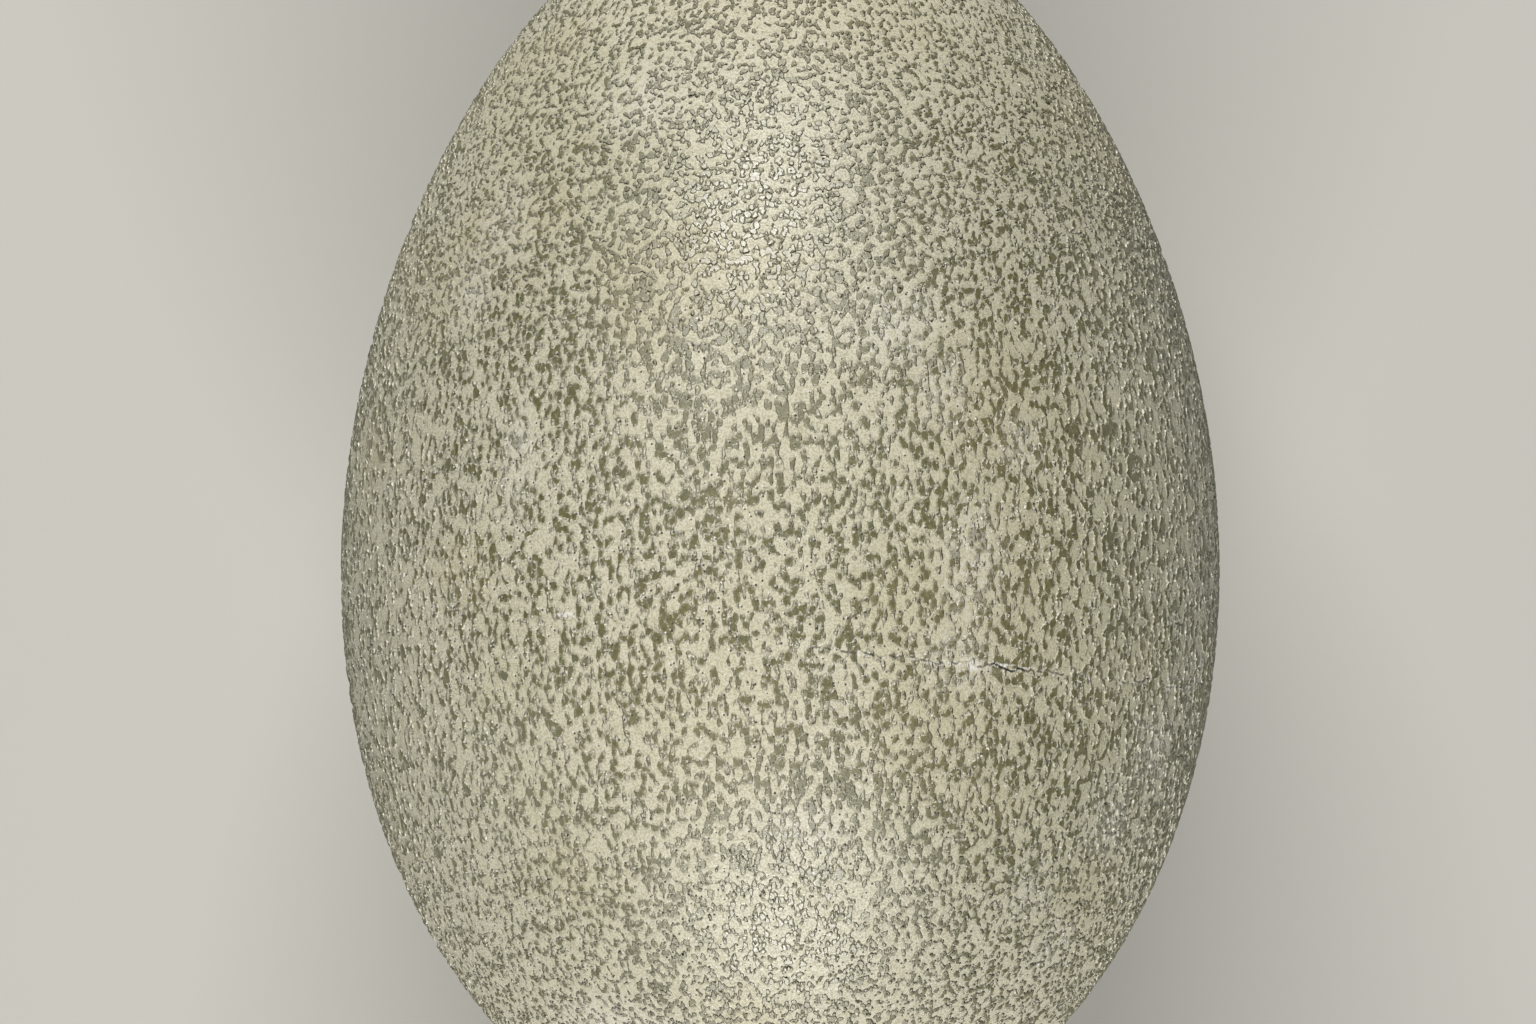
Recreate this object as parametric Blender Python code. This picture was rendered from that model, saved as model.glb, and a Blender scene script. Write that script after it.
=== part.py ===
"""A cassowary's egg, whole and unbroken, lying on its side.

Metres, +Z up. The egg's long axis runs along Y, with the pointed end at +Y and the blunt end
at -Y. The origin is under the middle of its length, on the surface that it rests on.
"""

import math

import bmesh
import bpy
from mathutils import Vector

# Driving dimensions of the egg
LENGTH = 0.1385  # from the blunt pole to the pointed pole
MIDDLE_WIDTH = 0.0937  # across the egg, halfway along it
TAPER = 0.0895  # share by which the pointed half is slimmer and the blunt half fuller
SLIM_ENDS = 0.0383  # share by which both ends are slimmer than those of an ellipse
FLAT_DEPTH = 0.0003  # how much the resting spot takes off the widest place

# How finely the shell is faceted
RINGS = 48  # bands from pole to pole
SIDES = 80  # facets around each band, a multiple of 4 so that one point of it is lowest

# Colour of the shell seen from a step away: pale ground and olive grains together
SHELL_COLOUR = (0.37, 0.35, 0.21, 1.0)
SHELL_ROUGHNESS = 0.45


def clear_objects():
    """Removes whatever the open file shows, so that only the egg is left."""
    for thing in list(bpy.data.objects):
        bpy.data.objects.remove(thing, do_unlink=True)


def half_width(turn):
    """The egg's radius at an angle that goes from -90 degrees, blunt, to 90 degrees, pointed.

    An ellipse's radius, made slimmer towards one pole and fuller towards the other.
    """
    along = math.sin(turn)
    return MIDDLE_WIDTH / 2 * math.cos(turn) * (1 - TAPER * along - SLIM_ENDS * along**2)


def shell_outline():
    """Points from the blunt pole to the pointed one, in equal steps of the angle."""
    turns = [math.pi * (ring / RINGS - 0.5) for ring in range(RINGS + 1)]
    return [Vector((half_width(turn), LENGTH / 2 * math.sin(turn), 0)) for turn in turns]


def shell_material():
    """A dull mineral shell with a slight gloss on its grains."""
    shell = bpy.data.materials.new("eggshell")
    shell.use_nodes = True
    surface = shell.node_tree.nodes["Principled BSDF"]
    surface.inputs["Base Color"].default_value = SHELL_COLOUR
    surface.inputs["Roughness"].default_value = SHELL_ROUGHNESS
    surface.inputs["Metallic"].default_value = 0
    return shell


def make_egg():
    """The outline spun about the long axis, then cut off flat where the egg rests."""
    outline = shell_outline()
    axis_height = max(point.x for point in outline) - FLAT_DEPTH

    shape = bmesh.new()
    points = [shape.verts.new(point) for point in outline]
    steps = [shape.edges.new(pair) for pair in zip(points, points[1:])]
    bmesh.ops.spin(
        shape,
        geom=points + steps,
        cent=(0, 0, 0),
        axis=(0, 1, 0),
        angle=2 * math.pi,
        steps=SIDES,
    )
    bmesh.ops.remove_doubles(shape, verts=shape.verts[:], dist=1e-6)
    bmesh.ops.recalc_face_normals(shape, faces=shape.faces[:])

    bmesh.ops.translate(shape, verts=shape.verts[:], vec=(0, 0, axis_height))
    cut = bmesh.ops.bisect_plane(
        shape,
        geom=shape.verts[:] + shape.edges[:] + shape.faces[:],
        plane_co=(0, 0, 0),
        plane_no=(0, 0, -1),
        clear_outer=True,
    )
    rim = [part for part in cut["geom_cut"] if isinstance(part, bmesh.types.BMEdge)]
    bmesh.ops.edgeloop_fill(shape, edges=rim)
    bmesh.ops.recalc_face_normals(shape, faces=shape.faces[:])

    mesh = bpy.data.meshes.new("egg")
    shape.to_mesh(mesh)
    shape.free()
    mesh.shade_smooth()
    mesh.set_sharp_from_angle(angle=math.radians(30))
    mesh.materials.append(shell_material())
    egg = bpy.data.objects.new("egg", mesh)
    bpy.context.scene.collection.objects.link(egg)
    return egg


clear_objects()
make_egg()
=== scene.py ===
"""A cassowary's egg lying on a pale floor, seen from straight above in soft studio light."""

import math

import bpy
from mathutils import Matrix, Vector


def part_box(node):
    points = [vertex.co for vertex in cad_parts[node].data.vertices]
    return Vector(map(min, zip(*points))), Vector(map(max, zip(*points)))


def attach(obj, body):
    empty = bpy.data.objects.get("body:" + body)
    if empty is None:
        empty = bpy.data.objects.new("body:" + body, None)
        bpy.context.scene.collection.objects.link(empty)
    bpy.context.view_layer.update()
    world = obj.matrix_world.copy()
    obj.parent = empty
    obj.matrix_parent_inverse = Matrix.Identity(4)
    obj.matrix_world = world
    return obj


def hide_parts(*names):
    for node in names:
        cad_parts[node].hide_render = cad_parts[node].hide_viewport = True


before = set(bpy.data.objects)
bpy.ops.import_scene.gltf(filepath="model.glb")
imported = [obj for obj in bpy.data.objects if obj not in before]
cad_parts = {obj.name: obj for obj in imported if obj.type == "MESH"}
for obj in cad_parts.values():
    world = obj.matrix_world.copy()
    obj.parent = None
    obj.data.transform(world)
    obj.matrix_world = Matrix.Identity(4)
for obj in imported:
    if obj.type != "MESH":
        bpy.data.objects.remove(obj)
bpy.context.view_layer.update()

# The shell: the egg's whole outside, one closed skin of pale, chalky calcite laid down in the
# bird as a single piece. Its outline is an ellipse's, slimmer towards the pointed end, spun
# about the long axis, with a small flat spot underneath where the egg lies.

MM = 0.001
LENGTH = 138.5 * MM
MIDDLE_WIDTH = 93.7 * MM
TAPER = 0.0895  # share by which the pointed half is slimmer and the blunt half fuller
SLIM_ENDS = 0.0383  # share by which both ends are slimmer than those of an ellipse
FLAT_DEPTH = 0.3 * MM
AXIS_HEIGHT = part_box("egg")[1].z / 2 - FLAT_DEPTH / 2

SHELL_CELLS = (56, 76)  # facets across and along each of the six sides that make the skin


def srgb(red, green, blue):
    """A colour as a screen shows it, 0 to 255, made the linear one that materials take."""
    def linear(part):
        part = part / 255
        return part / 12.92 if part <= 0.04045 else ((part + 0.055) / 1.055) ** 2.4
    return (linear(red), linear(green), linear(blue), 1.0)


class Bench:
    """A node tree to work on: it adds nodes, sets their sockets and joins them up."""

    def __init__(self, tree):
        self.tree = tree

    def add(self, kind, inputs=None, **settings):
        """One node, with settings on itself and values or links on its named inputs."""
        node = self.tree.nodes.new(kind)
        for name, value in settings.items():
            setattr(node, name, value)
        for name, value in (inputs or {}).items():
            self.feed(node.inputs[name], value)
        return node

    def feed(self, socket, value):
        """A link if the value is another node's output, and a plain value if not."""
        if isinstance(value, bpy.types.NodeSocket):
            self.tree.links.new(value, socket)
        else:
            socket.default_value = value

    def math(self, operation, first, second=0.0, clamp=False):
        """One sum on numbers."""
        inputs = {0: first, 1: second}
        return self.add("ShaderNodeMath", inputs, operation=operation, use_clamp=clamp).outputs[0]

    def vector(self, operation, first, second=None):
        """One sum on vectors."""
        inputs = {0: first} if second is None else {0: first, 1: second}
        node = self.add("ShaderNodeVectorMath", inputs, operation=operation)
        return node.outputs["Value" if operation in ("DISTANCE", "LENGTH") else "Vector"]

    def ramp(self, value, low, high, to_low=0.0, to_high=1.0, kind="SMOOTHSTEP"):
        """A value carried from one range to another, with soft ends."""
        inputs = {"Value": value, "From Min": low, "From Max": high,
                  "To Min": to_low, "To Max": to_high}
        return self.add("ShaderNodeMapRange", inputs, interpolation_type=kind).outputs["Result"]

    def noise(self, place, scale, detail=0.0, roughness=0.5):
        """Soft random blobs, as many to a unit as the scale says."""
        inputs = {"Vector": place, "Scale": scale, "Detail": detail, "Roughness": roughness}
        return self.add("ShaderNodeTexNoise", inputs).outputs[0]


def new_tree(name, inputs):
    """A Geometry Nodes tree with named inputs, which puts out one mesh."""
    tree = bpy.data.node_groups.new(name, "GeometryNodeTree")
    tree.interface.new_socket("Mesh", in_out="OUTPUT", socket_type="NodeSocketGeometry")
    for label, kind in inputs:
        tree.interface.new_socket(label, in_out="INPUT", socket_type="NodeSocket" + kind)
    return tree


KNOBS_PER_MM = 1.42  # single knobs of crystal
CHAINS_PER_MM = 0.8  # rows that the knobs join up in
CROWDS_PER_MM = 0.85  # patches of larger knobs and of smaller ones
ALONG_STRETCH = 0.62  # the pattern is drawn out along the egg round its waist
END_STRETCH = 1.05  # and hardly at all towards its ends
WAIST = (-38 * MM, 22 * MM)  # where along the egg the waist begins and ends
WAIST_FADE = 16 * MM  # how far from the edge of the waist the change begins and ends
KNOB_SIZE = 0.56  # how far a knob reaches, as a part of the space from knob to knob
TWIST = 0.4  # how much the knobs are pushed out of their places
CHAIN_PULL = 2.0  # how strongly the knobs keep to the rows
CROWD_PULL = 0.42  # how much the patches change the size of the knobs
RAGGED_PER_MM = 3.2
RAGGED_PULL = 0.35  # how ragged the outlines of the knobs are
THINNER_FROM = (0.35, 0.7)  # parts of the way from the middle to an end
THINNER_ENDS = 0.07  # taken off the field there, because less of the shell is covered
CLOSER_SIDE = (8 * MM, 38 * MM)  # across the egg, the grains crowd together between these
CLOSER_BY = 0.07  # added to the field past the second of them


def grain_field(bench, place):
    """How deep a place lies inside a grain: above 0 on it, below 0 between grains.

    Across the egg the pattern narrows a little towards the poles, so that its rows run from
    pole to pole. Along it the pattern is stretched at the waist, and the stretch fades out
    towards both ends.
    """
    axes = bench.add("ShaderNodeSeparateXYZ", {"Vector": place}).outputs
    share = bench.math("DIVIDE", axes["Y"], LENGTH / 2)
    girth = bench.math("SUBTRACT", 1.0, bench.math("MULTIPLY", share, share))
    girth = bench.math("POWER", bench.math("MAXIMUM", girth, 0.05), 0.25)
    per_mm = bench.math("DIVIDE", 1 / MM, girth)
    straight = bench.math("MULTIPLY", axes["Y"], ALONG_STRETCH)
    past_waist = bench.add("ShaderNodeMath", {
        0: bench.math("SUBTRACT", axes["Y"], WAIST[1]), 1: 0.0, 2: WAIST_FADE},
        operation="SMOOTH_MAX").outputs[0]
    before_waist = bench.add("ShaderNodeMath", {
        0: bench.math("SUBTRACT", WAIST[0], axes["Y"]), 1: 0.0, 2: WAIST_FADE},
        operation="SMOOTH_MAX").outputs[0]
    bent = bench.math("MULTIPLY", bench.math("SUBTRACT", past_waist, before_waist),
                      END_STRETCH - ALONG_STRETCH)
    over_axis = bench.math("SUBTRACT", axes["Z"], AXIS_HEIGHT)
    spot = bench.add("ShaderNodeCombineXYZ", {
        "X": bench.math("MULTIPLY", axes["X"], per_mm),
        "Y": bench.math("DIVIDE", bench.math("ADD", straight, bent), MM),
        "Z": bench.math("MULTIPLY", over_axis, per_mm)}).outputs[0]

    twist = bench.add("ShaderNodeTexNoise", {
        "Vector": spot, "Scale": CROWDS_PER_MM, "Detail": 0.0}).outputs["Color"]
    twist = bench.vector("MULTIPLY", bench.vector("SUBTRACT", twist, (0.5,) * 3), (TWIST,) * 3)
    knobs = bench.add("ShaderNodeTexVoronoi", {
        "Vector": bench.vector("ADD", spot, twist), "Scale": KNOBS_PER_MM}).outputs["Distance"]
    chains = bench.math("SUBTRACT", bench.noise(spot, CHAINS_PER_MM), 0.5)
    chains = bench.math("MULTIPLY", bench.math("ABSOLUTE", chains), CHAIN_PULL)
    crowds = bench.math("SUBTRACT", bench.noise(spot, CROWDS_PER_MM, 1.0), 0.5)
    ragged = bench.math("SUBTRACT", bench.noise(spot, RAGGED_PER_MM), 0.5)
    field = bench.math("ADD", bench.math("MULTIPLY", crowds, CROWD_PULL),
                       bench.math("MULTIPLY", ragged, RAGGED_PULL))
    field = bench.math("SUBTRACT", bench.math("ADD", field, KNOB_SIZE), knobs)
    field = bench.math("ADD", field, bench.ramp(axes["X"], *CLOSER_SIDE, 0, CLOSER_BY))
    from_middle = bench.math("ABSOLUTE", share)
    field = bench.math("SUBTRACT", field, bench.ramp(from_middle, *THINNER_FROM, 0, THINNER_ENDS))
    return bench.math("SUBTRACT", field, chains)


EGG_SIZES = {  # what every tree that makes a skin in the egg's shape is given
    "Length": LENGTH,
    "Middle Width": MIDDLE_WIDTH,
    "Taper": TAPER,
    "Slim Ends": SLIM_ENDS,
    "Axis Height": AXIS_HEIGHT,
}


def egg_skin(bench, sizes, across, along):
    """A cube's six gridded sides, swelled to a ball and then drawn out into the egg."""
    cube = bench.add("GeometryNodeMeshCube", {
        "Size": (2, 2, 2), "Vertices X": across, "Vertices Y": along, "Vertices Z": across})
    eighth_turn = bench.vector("MULTIPLY", bench.add("GeometryNodeInputPosition").outputs[0],
                               (math.pi / 4,) * 3)
    ball = bench.vector("NORMALIZE", bench.vector("TANGENT", eighth_turn))
    way = bench.add("ShaderNodeSeparateXYZ", {"Vector": ball})
    share = bench.math("MULTIPLY", way.outputs["Y"], sizes["Taper"])
    ends = bench.math("MULTIPLY", bench.math("MULTIPLY", way.outputs["Y"], way.outputs["Y"]),
                      sizes["Slim Ends"])
    swell = bench.math("SUBTRACT", bench.math("SUBTRACT", 1.0, share), ends)
    radius = bench.math("MULTIPLY", swell, bench.math("MULTIPLY", sizes["Middle Width"], 0.5))
    height = bench.math("ADD", bench.math("MULTIPLY", way.outputs["Z"], radius),
                        sizes["Axis Height"])
    place = bench.add("ShaderNodeCombineXYZ", {
        "X": bench.math("MULTIPLY", way.outputs["X"], radius),
        "Y": bench.math("MULTIPLY", way.outputs["Y"], bench.math("MULTIPLY", sizes["Length"], 0.5)),
        "Z": bench.math("MAXIMUM", height, 0.0)})
    return bench.add("GeometryNodeSetPosition", {
        "Geometry": cube.outputs["Mesh"], "Position": place.outputs[0]}).outputs[0]


def finish_tree(bench, mesh, material):
    """Every tree ends the same way: smooth shading, real mesh, material."""
    smooth = bench.add("GeometryNodeSetShadeSmooth", {0: mesh})
    whole = bench.add("GeometryNodeRealizeInstances", {0: smooth.outputs[0]})
    dressed = bench.add("GeometryNodeSetMaterial", {0: whole.outputs[0], "Material": material})
    end = bench.add("NodeGroupOutput")
    bench.feed(end.inputs[0], dressed.outputs[0])


def grown(name, tree, values):
    """A plain mesh object with what the tree makes from these values."""
    seedling = bpy.data.objects.new(name + "_tree", bpy.data.meshes.new(name + "_tree"))
    bpy.context.scene.collection.objects.link(seedling)
    grow = seedling.modifiers.new("grow", "NODES")
    grow.node_group = tree
    for item in tree.interface.items_tree:
        if item.in_out == "INPUT" and item.name in values:
            grow[item.identifier] = values[item.name]
    graph = bpy.context.evaluated_depsgraph_get()
    mesh = bpy.data.meshes.new_from_object(seedling.evaluated_get(graph), depsgraph=graph)
    seedling.modifiers.remove(grow)
    bpy.data.objects.remove(seedling)
    mesh.name = name
    piece = bpy.data.objects.new(name, mesh)
    bpy.context.scene.collection.objects.link(piece)
    return piece


def shell_point(across, along):
    """The place on the upper side of the shell that is so far across and along, in mm."""
    x = across * MM
    y = along * MM
    share = y / (LENGTH / 2)
    radius = MIDDLE_WIDTH / 2 * math.sqrt(1 - share**2) * (1 - TAPER * share - SLIM_ENDS * share**2)
    return Vector((x, y, AXIS_HEIGHT + math.sqrt(max(radius**2 - x**2, 0))))


# Marks that time left on shell and grains alike, from the egg's middle: how far across, how far
# along, half their width and half their length, all in mm.
SCUFFS = (
    (-15.5, 43.5, 4.5, 4.0),
    (-29.0, 30.5, 3.0, 4.5),
    (-32.5, 24.0, 2.5, 4.0),
    (-27.0, 6.0, 1.6, 4.5),
    (12.0, 20.0, 4.0, 3.5),
    (16.5, 13.5, 2.5, 3.5),
    (2.0, -32.0, 4.0, 2.5),
    (19.5, -4.5, 3.0, 5.5),
    (18.5, -14.5, 3.5, 3.0),
    (26.0, -39.0, 3.0, 3.5),
    (29.0, -44.0, 4.0, 3.0),
    (34.5, -31.0, 2.5, 4.5),
    (-17.5, -52.5, 6.0, 2.5),
    (39.0, -24.0, 2.0, 5.0),
    (24.5, 8.0, 2.0, 2.5),
)
STAINS = (
    (17.0, -19.0, 8.0, 7.0),
    (23.5, -8.0, 6.0, 9.0),
    (21.0, 12.0, 7.0, 8.0),
    (4.0, 54.0, 10.0, 7.0),
    (-8.0, -20.0, 9.0, 8.0),
)
CRACK_START = (-1.0, -12.6)  # across and along, in mm
CRACK_END = (45.0, -17.5)
CRACK_WANDER = 0.9  # mm to either side of a straight line
CRACK_HALF = (0.16, 0.08)  # mm from its line to where the dark begins, and to where it is full
PALE_HALF = (0.45, 0.15)  # the same for the pale edges on both sides
OPEN_MIDDLE = 23.4  # mm across, the middle of the short stretch that stands open
OPEN_HALF = (2.8, 1.4)  # mm from there to where it closes, and to where it is fully open
CHIPS = (
    (-22.1, -10.0, 1.1, 0.35),
    (19.8, -14.9, 0.7, 0.6),
    (22.8, -14.85, 1.4, 0.15),
    (25.4, -15.2, 1.2, 0.13),
    (40.8, -17.5, 0.8, 0.35),
    (43.6, -17.9, 0.8, 0.3),
    (44.5, -14.6, 0.25, 1.0),
)
PORES_PER_MM = 1.5  # places where there can be a pore
PORE_RADIUS = (0.13, 0.22)  # the least and the most, as parts of the space between those places
PORE_SHARE = (0.3, 0.7)  # how many of them are open, in bare places and in crowded ones
POINTED_PORES = 0.35  # the part of those that is left towards the pointed end
GLINT_SHIFT = (0.16, -0.13, 0.1)  # mm from the middle of the painted glint beside a pore to the pore


def spots(bench, place, marks, softness):
    """A mask that is 1 on each mark and fades to 0 round it."""
    mask = 0.0
    for across, along, half_width, half_length in marks:
        middle = shell_point(across, along)
        halves = (half_width, half_length, max(half_width, half_length))
        reach = [1 / (half * MM) for half in halves]
        away = bench.vector("MULTIPLY", bench.vector("SUBTRACT", place, middle), reach)
        near = bench.ramp(bench.vector("LENGTH", away), 1 + softness, 1 - softness)
        mask = bench.math("MAXIMUM", near, mask)
    return mask


def wear_group():
    """Masks for scuffs, stains, crack, chips and pores, for the painted glint beside each pore, and
    a slow drift of the colour.
    """
    tree = bpy.data.node_groups.new("shell wear", "ShaderNodeTree")
    tree.interface.new_socket("Place", in_out="INPUT", socket_type="NodeSocketVector")
    for label in ("Scuff", "Stain", "Crack", "Chip", "Pore", "Pore Glint", "Drift"):
        tree.interface.new_socket(label, in_out="OUTPUT", socket_type="NodeSocketFloat")
    bench = Bench(tree)
    place = bench.add("NodeGroupInput").outputs["Place"]
    in_mm = bench.vector("MULTIPLY", place, (1 / MM,) * 3)

    ragged = bench.noise(in_mm, 1.8, 2.0, 0.75)
    scuff = bench.math("MULTIPLY", spots(bench, place, SCUFFS, 0.75),
                       bench.ramp(ragged, 0.42, 0.6))
    stray = bench.ramp(bench.noise(in_mm, 0.085, 2.0, 0.6), 0.6, 0.72)
    scuff = bench.math("MAXIMUM", scuff,
                       bench.math("MULTIPLY", stray, bench.ramp(ragged, 0.52, 0.62, 0.0, 0.4)))
    stain = bench.math("MAXIMUM", spots(bench, place, STAINS, 0.9),
                       bench.ramp(bench.noise(in_mm, 0.06, 2.0, 0.5), 0.52, 0.68))

    across, along, height = bench.add("ShaderNodeSeparateXYZ", {"Vector": in_mm}).outputs
    upper = bench.ramp(height, AXIS_HEIGHT / MM - 4, AXIS_HEIGHT / MM)
    slope = (CRACK_END[1] - CRACK_START[1]) / (CRACK_END[0] - CRACK_START[0])
    wander = bench.add("ShaderNodeTexNoise", {
        "W": across, "Scale": 0.35, "Detail": 3.0, "Roughness": 0.6},
        noise_dimensions="1D").outputs[0]
    wander = bench.ramp(wander, 0, 1, -CRACK_WANDER, CRACK_WANDER, "LINEAR")
    run = bench.math("MULTIPLY", bench.math("SUBTRACT", across, CRACK_START[0]), slope)
    run = bench.math("ADD", bench.math("ADD", run, CRACK_START[1]), wander)
    off = bench.math("ABSOLUTE", bench.math("SUBTRACT", along, run))
    reach = bench.math("MULTIPLY", bench.ramp(across, CRACK_START[0], CRACK_START[0] + 3),
                       bench.ramp(across, CRACK_END[0] + 1, CRACK_END[0] - 1))
    from_open = bench.math("ABSOLUTE", bench.math("SUBTRACT", across, OPEN_MIDDLE))
    faint = bench.ramp(bench.noise(in_mm, 0.8, 2.0), 0.46, 0.56, 0, 0.7)
    broken = bench.math("MAXIMUM", bench.ramp(from_open, *OPEN_HALF), faint)
    crack = bench.math("MULTIPLY", bench.math("MULTIPLY", bench.ramp(off, *CRACK_HALF), reach),
                       bench.math("MULTIPLY", upper, broken))
    edge = bench.math("MULTIPLY", bench.math("MULTIPLY", bench.ramp(off, *PALE_HALF), reach),
                      bench.math("MULTIPLY", upper, bench.ramp(ragged, 0.5, 0.6)))
    chip = bench.math("MAXIMUM", spots(bench, place, CHIPS, 0.35),
                      bench.math("MULTIPLY", edge, 0.8))
    chip = bench.math("MULTIPLY", chip, bench.ramp(bench.noise(in_mm, 2.2, 2.0), 0.36, 0.5))

    pits = bench.add("ShaderNodeTexVoronoi", {"Vector": in_mm, "Scale": PORES_PER_MM})
    lot = bench.add("ShaderNodeSeparateColor", {"Color": pits.outputs["Color"]})
    crowd = bench.ramp(bench.noise(in_mm, 0.05, 1.0), 0.38, 0.62, *PORE_SHARE)
    crowd = bench.math("MULTIPLY", crowd, bench.ramp(along, 0, 30, 1, POINTED_PORES))
    open_pit = bench.math("LESS_THAN", lot.outputs["Red"], crowd)
    size = bench.ramp(lot.outputs["Green"], 0, 1, *PORE_RADIUS, "LINEAR")
    far = bench.math("DIVIDE", pits.outputs["Distance"], size)
    pore = bench.math("MULTIPLY", bench.ramp(far, 1.2, 0.7), open_pit)
    # a painted highlight: a pale spot beside each open pore, always on the same side of it
    beside = bench.vector("ADD", in_mm, GLINT_SHIFT)
    glint_cells = bench.add("ShaderNodeTexVoronoi", {"Vector": beside, "Scale": PORES_PER_MM})
    glint_far = bench.math("DIVIDE", glint_cells.outputs["Distance"], size)
    pore_glint = bench.math("MULTIPLY", bench.ramp(glint_far, 1.3, 0.6), open_pit)
    pore_glint = bench.math("SUBTRACT", pore_glint, pore, clamp=True)

    drift = bench.noise(in_mm, 0.03, 2.0, 0.5)
    end = bench.add("NodeGroupOutput")
    results = (scuff, stain, crack, chip, pore, pore_glint, drift)
    for socket, value in zip(end.inputs, results):
        bench.feed(socket, value)
    return tree


def tinted(bench, base, layers):
    """A colour with others laid over it, each through its own mask."""
    for mask, colour in layers:
        mix = bench.add("ShaderNodeMix", data_type="RGBA")
        bench.feed(mix.inputs["Factor"], mask)
        bench.feed(mix.inputs["A"], base)
        bench.feed(mix.inputs["B"], colour)
        base = mix.outputs["Result"]
    return base


def bare_material(name):
    """A new material, its bench and its Principled shader."""
    material = bpy.data.materials.new(name)
    material.use_nodes = True
    bench = Bench(material.node_tree)
    return material, bench, material.node_tree.nodes["Principled BSDF"]


GROUND = srgb(214, 211, 192)
GROUND_DARK = srgb(166, 161, 132)
# painted shade: a darker colour laid on the ground round the foot of each grain, in the grooves
# between grains
PAINTED_GROOVE_SHADE = srgb(128, 122, 98)
GROUND_GREEN = srgb(202, 200, 174)
OCHRE = srgb(196, 178, 124)
# chalk white for the scuffs and chips, and also for the painted glints beside the pores
CHALK_AND_GLINT = srgb(236, 233, 226)
PIT_BLACK = srgb(22, 19, 14)
OLIVE = srgb(105, 102, 57)
OLIVE_DARK = srgb(84, 84, 50)
OLIVE_GREY = srgb(117, 112, 76)
SAND_PER_MM = 4.6  # the finest grit of the surface
MOTTLE_PER_MM = 0.9  # soft spots of a darker shade
SAND_EDGE = 0.08  # how much the grit frays the edge of the olive colour
SAND_BUMP = (0.05, 0.015)  # mm of relief in the shading, between grains and on them
GRAIN_BUMP = 0.48  # mm of relief in the shading, from the ground up to the top of a grain
GROUND_ROUGHNESS = (0.4, 0.54)
CALCITE_IOR = 1.66


def skin_group():
    """The colour and the fine relief of the shell and its grains, from a place on the shell."""
    tree = bpy.data.node_groups.new("shell skin", "ShaderNodeTree")
    tree.interface.new_socket("Place", in_out="INPUT", socket_type="NodeSocketVector")
    tree.interface.new_socket("Colour", in_out="OUTPUT", socket_type="NodeSocketColor")
    for label in ("Height", "Depth", "Sand", "Pore"):
        tree.interface.new_socket(label, in_out="OUTPUT", socket_type="NodeSocketFloat")
    bench = Bench(tree)
    place = bench.add("NodeGroupInput").outputs["Place"]
    in_mm = bench.vector("MULTIPLY", place, (1 / MM,) * 3)
    marks = bench.add("ShaderNodeGroup", node_tree=wear_group())
    bench.feed(marks.inputs["Place"], place)
    marks = marks.outputs
    sand = bench.noise(in_mm, SAND_PER_MM, 1.0, 0.65)
    mottle = bench.noise(in_mm, MOTTLE_PER_MM, 1.0, 0.6)
    depth = grain_field(bench, place)
    edge = bench.math("ADD", depth, bench.ramp(sand, 0.3, 0.7, -SAND_EDGE, SAND_EDGE))

    green = tinted(bench, OLIVE, (
        (bench.ramp(marks["Drift"], 0.5, 0.64, 0, 0.7), OLIVE_GREY),
        (bench.ramp(mottle, 0.46, 0.68, 0, 0.4), OLIVE_DARK),
        (bench.ramp(depth, 0.15, 0.45, 0, 0.8), OLIVE_DARK),
        (bench.ramp(sand, 0.5, 0.66, 0, 0.25), GROUND_DARK),
    ))
    colour = tinted(bench, GROUND, (
        (bench.ramp(marks["Drift"], 0.42, 0.6, 0, 0.6), GROUND_GREEN),
        (bench.ramp(mottle, 0.5, 0.72, 0, 0.2), GROUND_DARK),
        (bench.ramp(sand, 0.42, 0.64, 0, 0.7), GROUND_DARK),
        # painted shade round the foot of each grain, where the grooves between grains are
        (bench.math("MULTIPLY", bench.ramp(depth, -0.35, -0.15), 0.12), PAINTED_GROOVE_SHADE),
        (bench.ramp(edge, -0.04, 0.06), green),
        (bench.math("MULTIPLY", marks["Stain"], 0.07), OCHRE),
        (bench.math("MULTIPLY", marks["Scuff"], 0.45), CHALK_AND_GLINT),
        # painted glint beside each pore
        (bench.math("MULTIPLY", marks["Pore Glint"], 0.8), CHALK_AND_GLINT),
        (marks["Chip"], CHALK_AND_GLINT),
        (bench.math("MULTIPLY", marks["Pore"], 0.9), PIT_BLACK),
        (bench.math("MULTIPLY", marks["Crack"], 0.95), PIT_BLACK),
    ))
    height = bench.math("MULTIPLY", sand, bench.ramp(depth, -0.1, 0.05, *SAND_BUMP))
    height = bench.math("ADD", height, bench.ramp(depth, -0.24, 0.06, 0, GRAIN_BUMP))

    end = bench.add("NodeGroupOutput")
    for label, value in (("Colour", colour), ("Height", height), ("Depth", depth), ("Sand", sand),
                         ("Pore", marks["Pore"])):
        bench.feed(end.inputs[label], value)
    return tree


skin_look = skin_group()


def chalk_ground():
    """Pale, dull calcite, finely sanded, pricked with pores."""
    material, bench, surface = bare_material("chalk ground")
    look = bench.add("ShaderNodeGroup", node_tree=skin_look)
    bench.feed(look.inputs["Place"], bench.add("ShaderNodeTexCoord").outputs["Object"])
    look = look.outputs
    bench.feed(surface.inputs["Base Color"], look["Colour"])
    bench.feed(surface.inputs["Roughness"], bench.math(
        "MAXIMUM", bench.ramp(look["Sand"], 0.3, 0.7, *GROUND_ROUGHNESS), look["Pore"]))
    surface.inputs["IOR"].default_value = CALCITE_IOR
    surface.inputs["Specular IOR Level"].default_value = 0.4
    bump = bench.add("ShaderNodeBump", {"Strength": 1.0, "Distance": MM, "Height": look["Height"]})
    bench.feed(surface.inputs["Normal"], bump.outputs[0])
    return material


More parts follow.
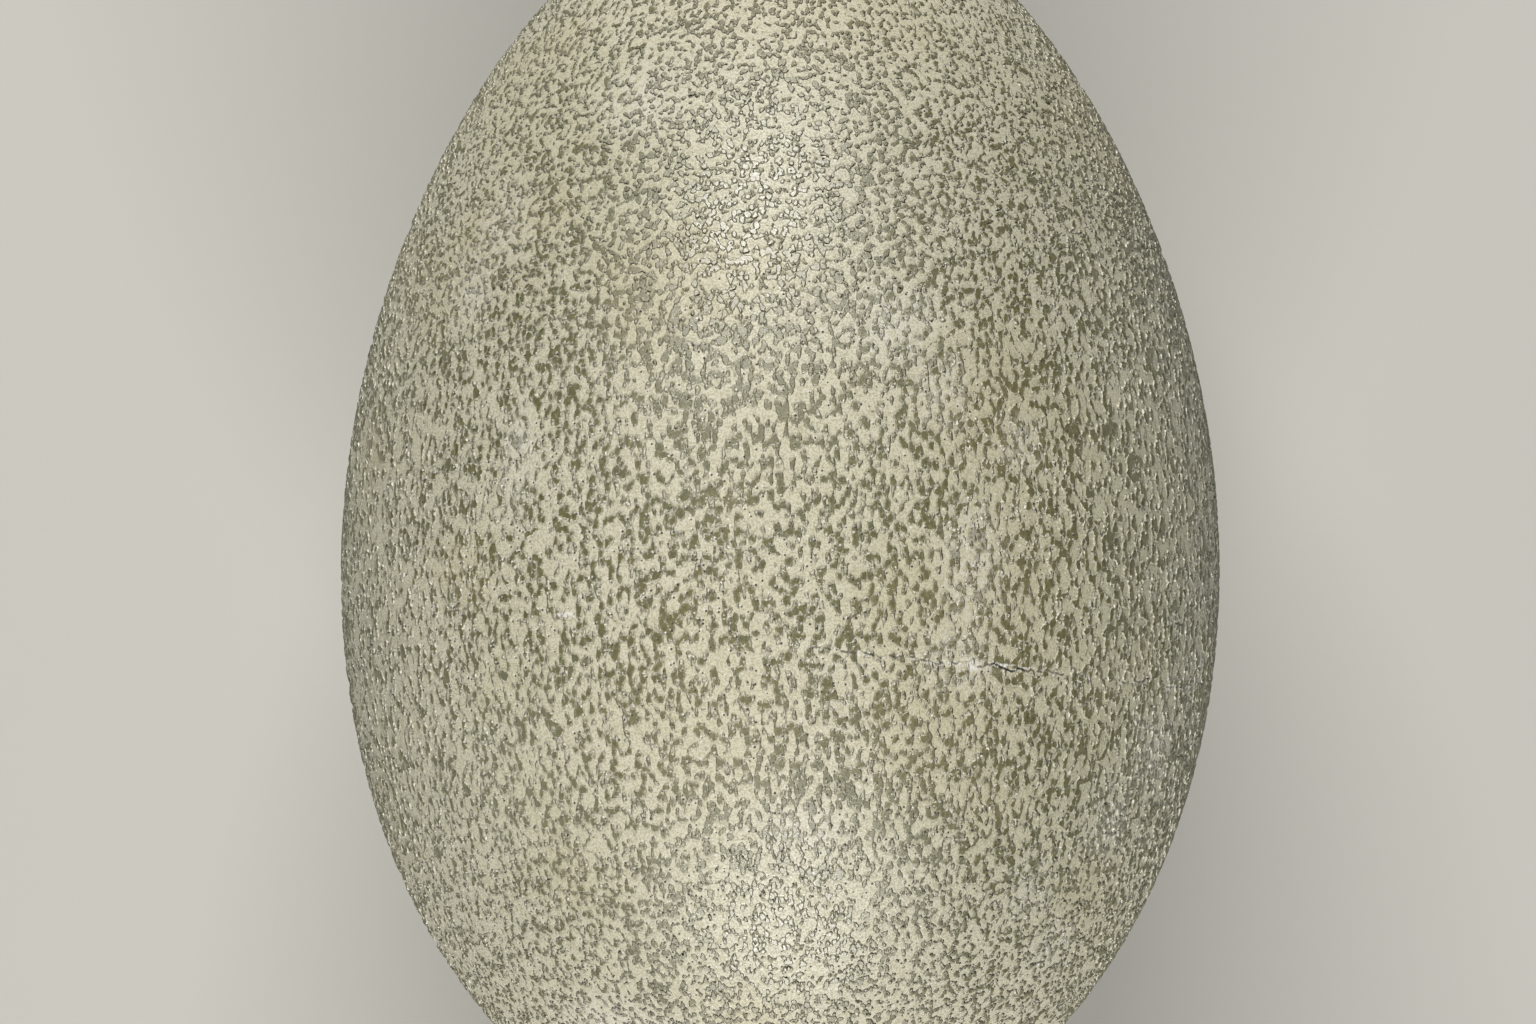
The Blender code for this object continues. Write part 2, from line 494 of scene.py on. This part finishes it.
skin_inputs = [(label, "Float") for label in EGG_SIZES]
skin_inputs += [("Cells Across", "Int"), ("Cells Along", "Int"), ("Finish", "Material")]
shell_tree = new_tree("egg shell", skin_inputs)
bench = Bench(shell_tree)
given = bench.add("NodeGroupInput").outputs
skin = egg_skin(bench, given, given["Cells Across"], given["Cells Along"])
finish_tree(bench, skin, given["Finish"])

shell = grown("shell", shell_tree, {
    **EGG_SIZES,
    "Cells Across": SHELL_CELLS[0],
    "Cells Along": SHELL_CELLS[1],
    "Finish": chalk_ground(),
})
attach(shell, "root")
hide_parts("egg")

# The grains: thousands of low, glossy olive knobs of crystal that grew on the chalky skin and
# ran together into short worms and hooks, mostly along the egg. Each is a little hill whose
# foot is sunk in the shell. They are made in six belts, from the blunt end to the pointed one.

GRAIN_CELLS = (300, 350)  # as the shell's, but fine enough for a knob less than 1 mm wide
GRAIN_HEIGHT = 0.24 * MM
FOOT_DEPTH = 0.04 * MM
FLANK = 0.2  # the part of the field that the sides of a grain take up
CROWN = 0.1  # how much a deep grain swells over a shallow one, as a part of the height
LEAST_RISE = 0.08  # cells that rise less than this part of the height are left out
LEAST_CELLS = 9  # a scrap with fewer cells than this is left out
WORN_FLAT = 0.5 * MM  # the grains are worn off up to this height, where the egg rests
BELTS = {  # where along the egg each belt begins and ends, the first and last past its poles
    "grains_blunt_end": (-LENGTH, -45 * MM),
    "grains_blunt_side": (-45 * MM, -21 * MM),
    "grains_waist": (-21 * MM, 1 * MM),
    "grains_shoulder": (1 * MM, 24 * MM),
    "grains_pointed_side": (24 * MM, 44 * MM),
    "grains_pointed_end": (44 * MM, LENGTH),
}
TOP_ROUGHNESS = (0.38, 0.48)
FOOT_ROUGHNESS = 0.05  # added at the foot of a grain
GLOSS_IOR = 1.8  # above calcite's, for tops that shine more than the ground


def glossy_olive():
    """Olive crystal, pale at its foot like the ground, with more gloss than the ground has."""
    material, bench, surface = bare_material("glossy olive")
    look = bench.add("ShaderNodeGroup", node_tree=skin_look)
    bench.feed(look.inputs["Place"], bench.add(
        "ShaderNodeAttribute", attribute_name="footing").outputs["Vector"])
    look = look.outputs
    bench.feed(surface.inputs["Base Color"], look["Colour"])
    rough = bench.math("ADD", bench.ramp(look["Depth"], -0.1, 0.1, FOOT_ROUGHNESS, 0),
                       bench.ramp(look["Sand"], 0.3, 0.7, *TOP_ROUGHNESS))
    bench.feed(surface.inputs["Roughness"], bench.math("MAXIMUM", rough, look["Pore"]))
    surface.inputs["IOR"].default_value = GLOSS_IOR
    surface.inputs["Specular IOR Level"].default_value = 1.0
    outward = bench.add("ShaderNodeVectorTransform", {
        "Vector": bench.add("ShaderNodeAttribute", attribute_name="outward").outputs["Vector"]},
        vector_type="NORMAL", convert_from="OBJECT", convert_to="WORLD").outputs["Vector"]
    bump = bench.add("ShaderNodeBump", {"Strength": 1.0, "Distance": MM, "Height": look["Height"],
                                        "Normal": outward})
    bench.feed(surface.inputs["Normal"], bump.outputs[0])
    return material


hill_inputs = [(label, "Float") for label in ("Height", "Foot Depth", "From", "To")]
grain_tree = new_tree("grains", skin_inputs + hill_inputs)
bench = Bench(grain_tree)
given = bench.add("NodeGroupInput").outputs
skin = egg_skin(bench, given, given["Cells Across"], given["Cells Along"])

along = bench.add("ShaderNodeSeparateXYZ", {
    "Vector": bench.add("GeometryNodeInputPosition").outputs[0]}).outputs["Y"]
elsewhere = bench.math("ADD", bench.math("LESS_THAN", along, given["From"]),
                       bench.math("SUBTRACT", 1.0, bench.math("LESS_THAN", along, given["To"])))
belt = bench.add("GeometryNodeDeleteGeometry", {
    "Geometry": skin, "Selection": elsewhere}, domain="FACE")

position = bench.add("GeometryNodeInputPosition").outputs[0]
field = grain_field(bench, position)
rise = bench.ramp(field, -FLANK, FLANK)
crown = bench.ramp(field, 0, 4 * FLANK, 0, CROWN)
height = bench.add("ShaderNodeSeparateXYZ", {"Vector": position}).outputs["Z"]
worn = bench.ramp(height, 0.0, WORN_FLAT)
swell = bench.math("MULTIPLY", bench.math("ADD", rise, crown), given["Height"])
swell = bench.math("SUBTRACT", bench.math("MULTIPLY", swell, worn), given["Foot Depth"])

stored = bench.add("GeometryNodeStoreNamedAttribute", {
    "Geometry": belt.outputs[0], "Name": "rise", "Value": rise}, data_type="FLOAT", domain="POINT")
stored = bench.add("GeometryNodeStoreNamedAttribute", {
    "Geometry": stored.outputs[0], "Name": "footing", "Value": position},
    data_type="FLOAT_VECTOR", domain="POINT")
stored = bench.add("GeometryNodeStoreNamedAttribute", {
    "Geometry": stored.outputs[0], "Name": "outward",
    "Value": bench.add("GeometryNodeInputNormal").outputs[0]},
    data_type="FLOAT_VECTOR", domain="POINT")
stored_rise = bench.add("GeometryNodeInputNamedAttribute", {"Name": "rise"}, data_type="FLOAT")
flat = bench.math("LESS_THAN", stored_rise.outputs["Attribute"], LEAST_RISE)
lifted = bench.add("GeometryNodeSetPosition", {
    "Geometry": stored.outputs[0],
    "Offset": bench.add("ShaderNodeVectorMath", {
        0: bench.add("GeometryNodeInputNormal").outputs[0], "Scale": swell},
        operation="SCALE").outputs[0]})
hills = bench.add("GeometryNodeDeleteGeometry", {
    "Geometry": lifted.outputs[0], "Selection": flat}, domain="FACE")
cells = bench.add("GeometryNodeAccumulateField", {
    "Value": 1, "Group ID": bench.add("GeometryNodeInputMeshIsland").outputs["Island Index"]},
    data_type="INT", domain="FACE").outputs["Total"]
whole_hills = bench.add("GeometryNodeDeleteGeometry", {
    "Geometry": hills.outputs[0],
    "Selection": bench.math("LESS_THAN", cells, LEAST_CELLS)}, domain="FACE")
finish_tree(bench, whole_hills.outputs[0], given["Finish"])

olive = glossy_olive()
for name, (belt_from, belt_to) in BELTS.items():
    grains = grown(name, grain_tree, {
        **EGG_SIZES,
        "Cells Across": GRAIN_CELLS[0],
        "Cells Along": GRAIN_CELLS[1],
        "Height": GRAIN_HEIGHT + FOOT_DEPTH,
        "Foot Depth": FOOT_DEPTH,
        "From": belt_from,
        "To": belt_to,
        "Finish": olive,
    })
    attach(grains, "root")

# The floor: a plain pale board, far wider than the view, painted and dull. The egg lies loose
# on it, on its flat spot.

FLOOR_WIDTH = 3.0  # metres
FLOOR_COLOUR = srgb(192, 191, 188)
FLOOR_ROUGHNESS = 0.85


def make_floor():
    """One flat, dull sheet."""
    reach = FLOOR_WIDTH / 2
    mesh = bpy.data.meshes.new("floor")
    corners = [(-reach, -reach, 0), (reach, -reach, 0), (reach, reach, 0), (-reach, reach, 0)]
    mesh.from_pydata(corners, [], [(0, 1, 2, 3)])
    floor = bpy.data.objects.new("floor", mesh)
    bpy.context.scene.collection.objects.link(floor)
    material, _, surface = bare_material("pale floor")
    surface.inputs["Base Color"].default_value = FLOOR_COLOUR
    surface.inputs["Roughness"].default_value = FLOOR_ROUGHNESS
    mesh.materials.append(material)


make_floor()

# The studio: two wide softboxes stand over the two ends of the egg, a low one fills the left
# side, and a dim pale room does the rest.

EGG_HEART = Vector((0, 0, AXIS_HEIGHT))
LAMP_DISTANCE = 0.9  # metres from there to each softbox
LAMP_COLOUR = (1.0, 0.98, 0.92)
ROOM_COLOUR = (0.9, 0.95, 1.0, 1.0)
ROOM_STRENGTH = 0.04


def softbox(name, turn, lean, width, height, watts):
    """A rectangle light aimed at the egg.

    Turn is in degrees from +Y round towards +X, and lean is in degrees down from overhead.
    """
    lamp = bpy.data.lights.new(name, "AREA")
    lamp.shape = "RECTANGLE"
    lamp.size = width
    lamp.size_y = height
    lamp.energy = watts
    lamp.color = LAMP_COLOUR
    light = bpy.data.objects.new(name, lamp)
    way = Vector((math.sin(math.radians(turn)) * math.sin(math.radians(lean)),
                  math.cos(math.radians(turn)) * math.sin(math.radians(lean)),
                  math.cos(math.radians(lean))))
    light.location = EGG_HEART + way * LAMP_DISTANCE
    light.rotation_euler = way.to_track_quat("Z", "Y").to_euler()
    light.visible_camera = False
    bpy.context.scene.collection.objects.link(light)


softbox("softbox over the pointed end", turn=-8, lean=48, width=0.6, height=0.34, watts=7.8)
softbox("softbox over the blunt end", turn=178, lean=58, width=0.6, height=0.36, watts=7.5)
softbox("low softbox on the left", turn=-115, lean=76, width=0.2, height=0.4, watts=0.45)

room = bpy.data.worlds.new("pale room")
room.use_nodes = True
sky = room.node_tree.nodes["Background"]
sky.inputs["Color"].default_value = ROOM_COLOUR
sky.inputs["Strength"].default_value = ROOM_STRENGTH
bpy.context.scene.world = room
bpy.context.scene.view_settings.view_transform = "Standard"

# The camera: a long lens straight above the egg, with the pointed end up in the picture, close
# enough that both poles are past its edges.

LENS = 200.0
SENSOR = 36.0
VIEW_WIDTH = 165.4 * MM  # what the picture takes in at the height of the egg's axis
AIM = Vector((-1.35 * MM, 0.75 * MM, AXIS_HEIGHT))
LEAN = math.radians(0.34)  # the egg leans this far to the right in the picture

camera = bpy.data.objects.new("camera", bpy.data.cameras.new("camera"))
camera.data.lens = LENS
camera.data.sensor_width = SENSOR
camera.location = AIM + Vector((0, 0, VIEW_WIDTH * LENS / SENSOR))
camera.rotation_euler = (0, 0, LEAN)
bpy.context.scene.collection.objects.link(camera)
bpy.context.scene.camera = camera
